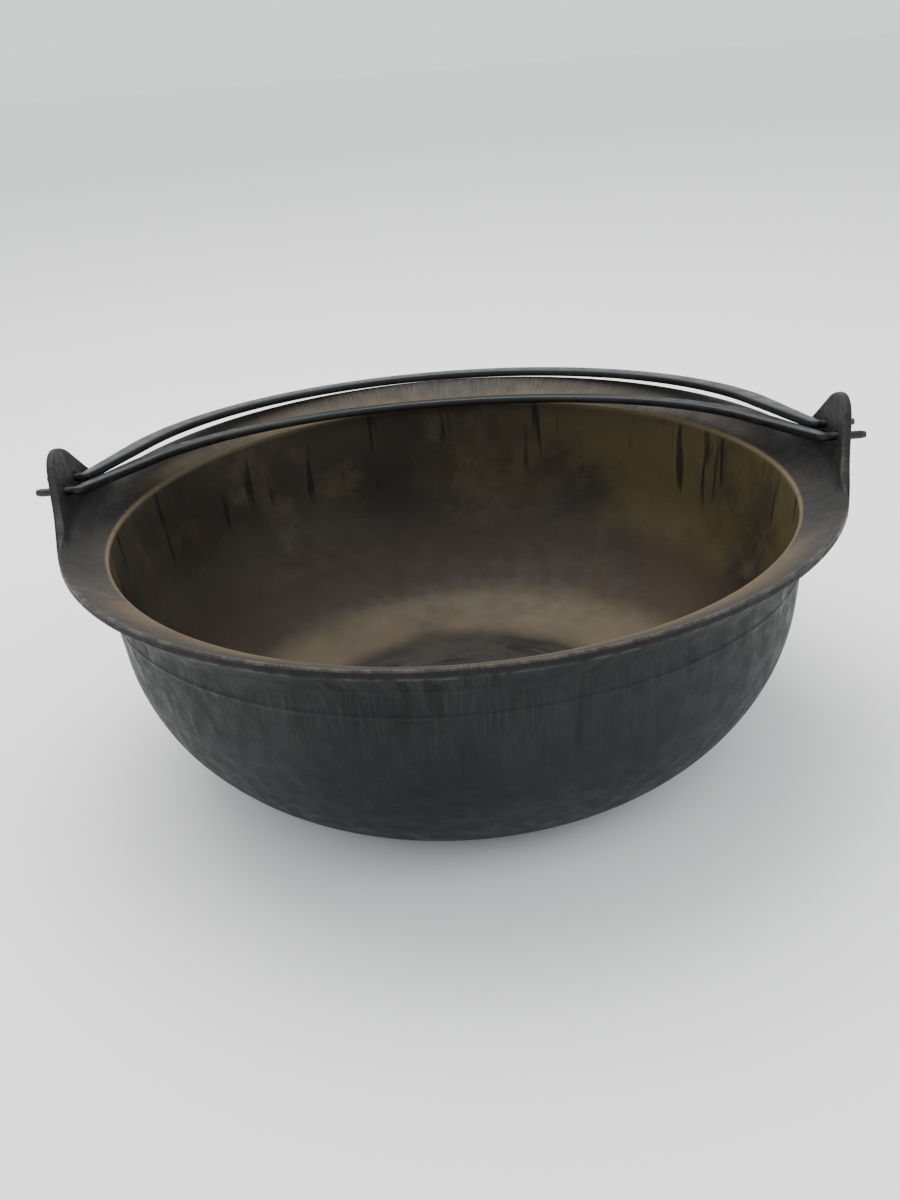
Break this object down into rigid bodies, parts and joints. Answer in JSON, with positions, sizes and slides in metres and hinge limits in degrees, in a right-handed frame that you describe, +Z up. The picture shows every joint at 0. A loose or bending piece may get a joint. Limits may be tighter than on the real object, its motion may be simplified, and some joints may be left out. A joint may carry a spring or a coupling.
{
  "type": "cooking pot",
  "caption": "Wide round-bottomed cast iron cooking pot with a flared lip, upright drilled ears and folding flat-bar bails.",
  "frame": {"origin": "centre of the flat base, on the surface the pot stands on", "axes": "+Z up; +X along the bails' pin axes, from ear to ear; +Y towards the side on which both folded bails lie"},
  "size_m": [0.4318, 0.4157, 0.179],
  "materials": {
    "iron": "matte",
    "bail_steel": "satin"
  },
  "bodies": {
    "pot": {"pot": "iron"},
    "front_bail": {"front_bail": "bail_steel"},
    "rear_bail": {"rear_bail": "bail_steel"}
  },
  "joints": [
    {"name": "front_bail_hinge", "type": "hinge", "parent": "pot", "child": "front_bail", "pos_m": [0, -0.0106, 0.1598], "axis": [1, 0, 0], "range_deg": [0, 191]},
    {"name": "rear_bail_hinge", "type": "hinge", "parent": "pot", "child": "rear_bail", "pos_m": [0, 0.0106, 0.1598], "axis": [1, 0, 0], "range_deg": [0, 145]}
  ]
}
